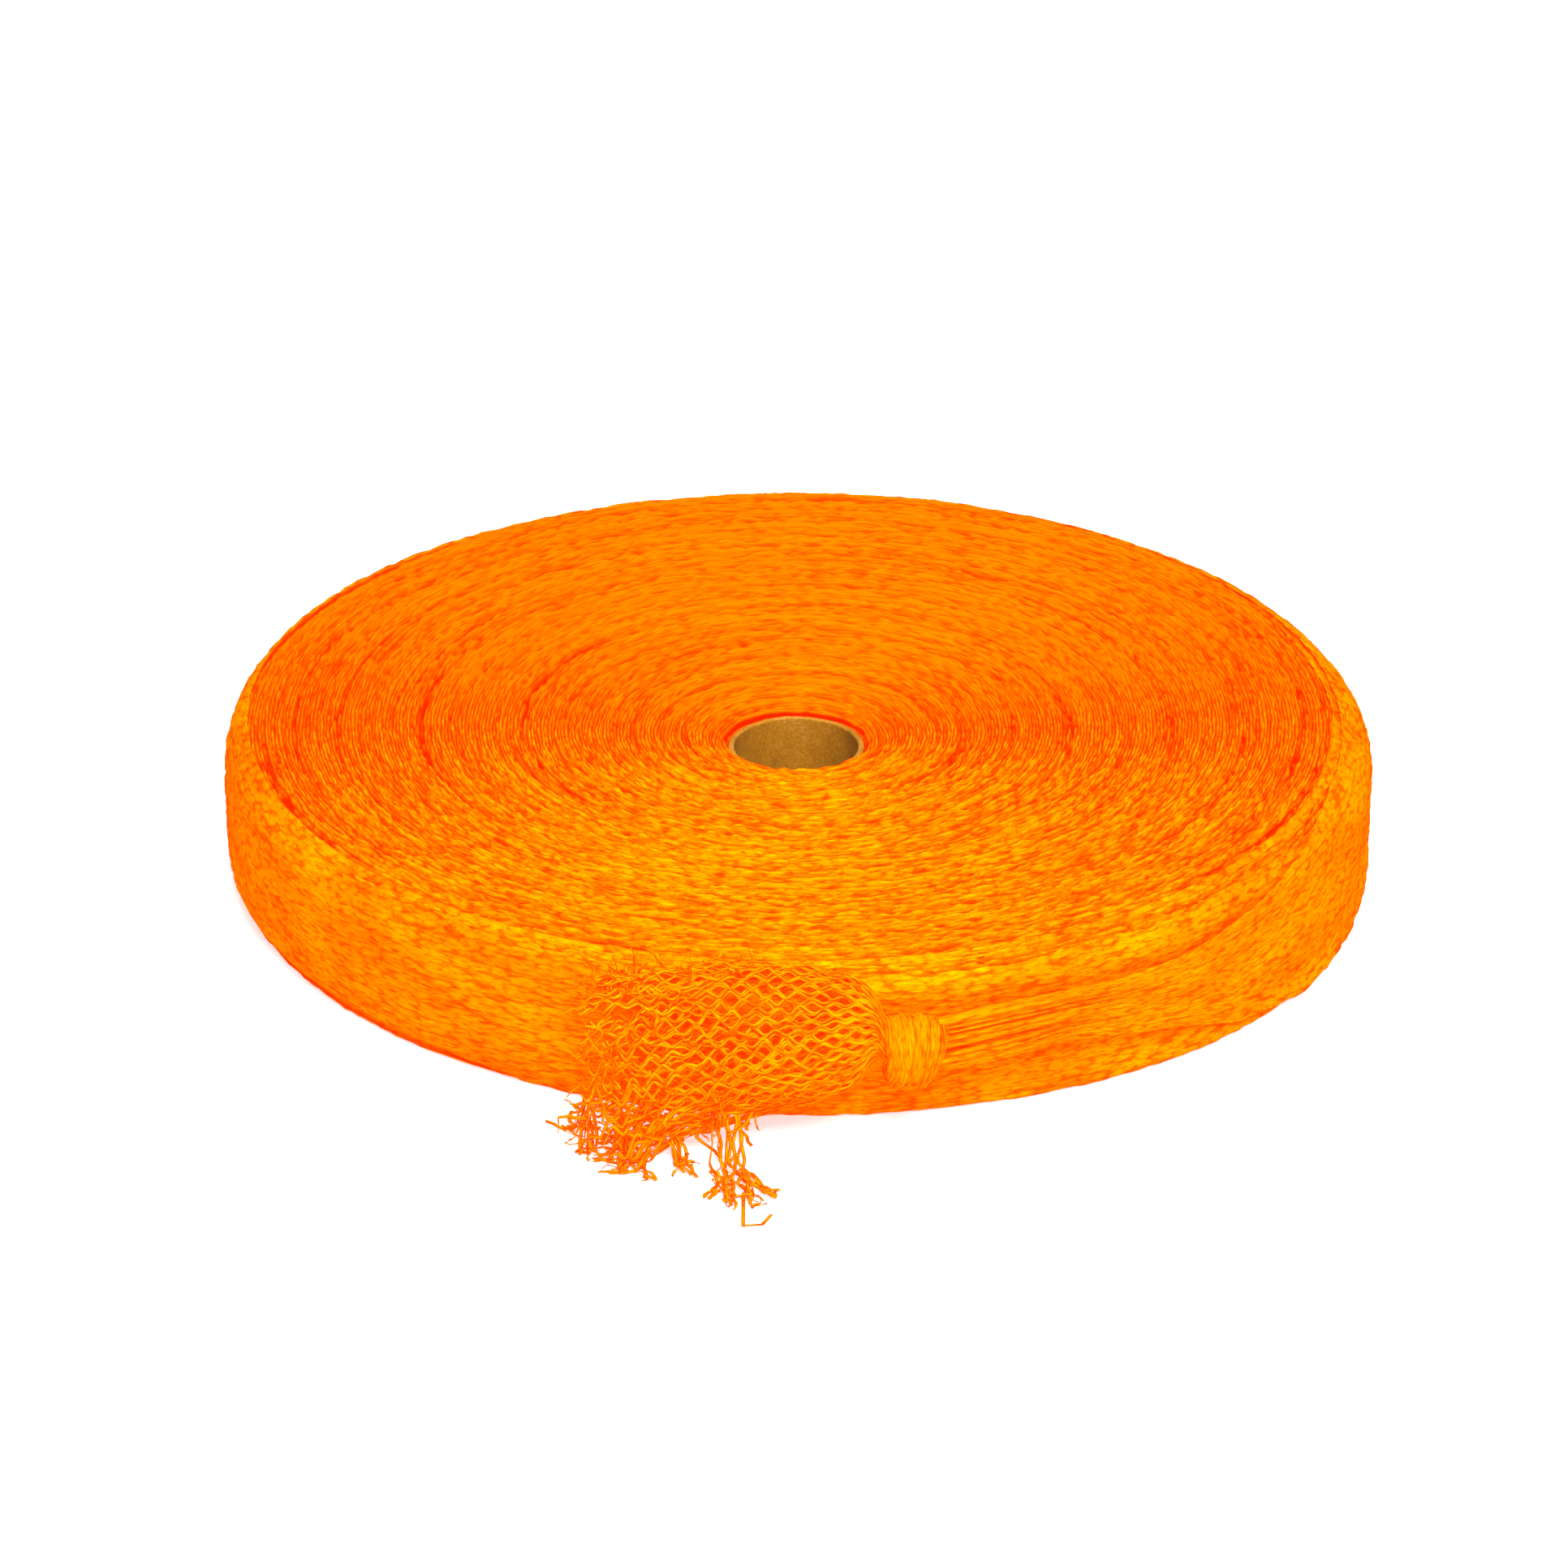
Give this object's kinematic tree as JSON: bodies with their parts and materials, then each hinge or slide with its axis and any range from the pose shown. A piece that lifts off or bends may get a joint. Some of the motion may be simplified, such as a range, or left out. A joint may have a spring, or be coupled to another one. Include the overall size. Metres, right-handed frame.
{
  "type": "net tubing roll",
  "caption": "Flat coil of knitted tubular net wound on a recessed paper core, its free end tied in a knot with an open frayed bell.",
  "frame": {"origin": "centre of mass, on the axis of the core's bore and 29 mm above the base", "axes": "+Z along the bore axis, up when the roll lies flat; -Y towards the knotted free end; +X to the right of it"},
  "size_m": [0.4672, 0.5476, 0.0648],
  "materials": {
    "kraft_board": "spirally wound kraft board, matt",
    "adhesive_tape": "thin packing tape, satin",
    "knitted_net": "knitted polyethylene tape yarn, orange, satin"
  },
  "bodies": {
    "roll": {"paper_core": "kraft_board", "start_tape": "adhesive_tape", "wound_net_1": "knitted_net", "wound_net_2": "knitted_net", "wound_net_3": "knitted_net", "wound_net_4": "knitted_net", "wound_net_5": "knitted_net", "last_turn": "knitted_net"},
    "leader": {"leader_strap": "knitted_net", "gathered_neck": "knitted_net", "knot_wrap": "knitted_net"},
    "bell": {"net_bell": "knitted_net", "frayed_ends": "knitted_net"}
  },
  "joints": [
    {"name": "peel", "type": "hinge", "parent": "roll", "child": "leader", "pos_m": [0.18302, -0.1482, 0], "axis": [0, 0, 1], "range_deg": [0, 100]},
    {"name": "bell_fold", "type": "hinge", "parent": "leader", "child": "bell", "pos_m": [0.0203, -0.2486, 0.008], "axis": [0, 1, 0], "range_deg": [0, 60]}
  ]
}
